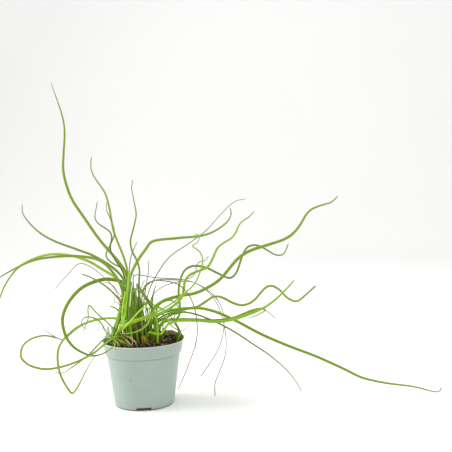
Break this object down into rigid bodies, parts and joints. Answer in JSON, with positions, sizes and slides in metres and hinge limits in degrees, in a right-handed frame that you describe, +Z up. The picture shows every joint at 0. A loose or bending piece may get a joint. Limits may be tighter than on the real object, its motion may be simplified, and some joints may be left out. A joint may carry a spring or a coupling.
{
  "type": "potted corkscrew rush",
  "caption": "Potted rush with curling, looping round green stems that rise and trail from peat in a small tapered plastic nursery pot with a rim band and drain slots.",
  "frame": {"origin": "centre of the pot's foot, on the surface it stands on", "axes": "+Z up, +X towards the side that the longest stem trails to, -Y towards the camera of the picture"},
  "size_m": [0.5334, 0.2326, 0.3707],
  "materials": {
    "pot_plastic": "light grey-green moulded plastic, satin",
    "peat": "dark moist peat",
    "stem_green": "mid green living stem, smooth with a soft shine",
    "stem_lime": "bright yellow-green living stem, smooth with a soft shine",
    "stem_deep_green": "dark green living stem, smooth with a soft shine",
    "stem_pale": "pale grey-green stem, matt",
    "dry_straw": "dry tan straw, matt"
  },
  "bodies": {
    "root": {"pot": "pot_plastic", "soil": "peat", "stem_tall_left": "stem_green", "stem_upper_left": "stem_green", "stem_left_arc_front": "stem_green", "stem_left_arc_back": "stem_green", "stem_big_ring": "stem_green", "stem_low_loop_left": "stem_green", "stem_low_thin_left": "stem_deep_green", "stem_hook_left": "stem_green", "stem_left_side": "stem_deep_green", "stem_kinked_left": "stem_green", "stem_small_curl_left": "stem_green", "stem_short_pale_left": "stem_pale", "straw_dry": "dry_straw", "stem_short_left": "stem_green", "stem_curly_tall": "stem_green", "stem_curly_left": "stem_deep_green", "stem_wavy_left": "stem_deep_green", "stem_wavy_centre": "stem_green", "stem_short_centre": "stem_deep_green", "stem_kinked_right": "stem_green", "stem_long_fine": "stem_deep_green", "stem_curl_tip_right": "stem_lime", "stem_stepped_right": "stem_lime", "stem_hairpin_right": "stem_green", "stem_short_right": "stem_green", "stem_long_rising": "stem_green", "stem_wavy_right": "stem_green", "stem_front_right": "stem_lime", "stem_longest_right": "stem_green", "stem_fine_right": "stem_green", "stem_hooked_right": "stem_lime", "stem_dark_thin_right": "stem_deep_green", "stem_drooping_back": "stem_deep_green", "stem_drooping_front": "stem_green", "stem_fine_curl": "stem_deep_green", "straw_drooping": "dry_straw", "stem_pale_upright": "stem_pale", "stem_short_upright": "stem_deep_green", "stem_arched_centre": "stem_lime", "stem_front_arc": "stem_lime", "stem_crown_front": "stem_deep_green", "stem_crown_left": "stem_lime", "stem_crown_pale": "stem_pale", "stem_crown_middle": "stem_green", "stem_crown_right": "stem_lime", "stem_crown_leaning": "stem_green", "stem_crown_deep": "stem_deep_green", "stem_lime_left": "stem_lime", "stem_lime_inner": "stem_lime", "stem_back_left": "stem_green", "stem_back_tall": "stem_green", "stem_back_right": "stem_deep_green", "stem_back_low": "stem_lime"}
  },
  "joints": []
}
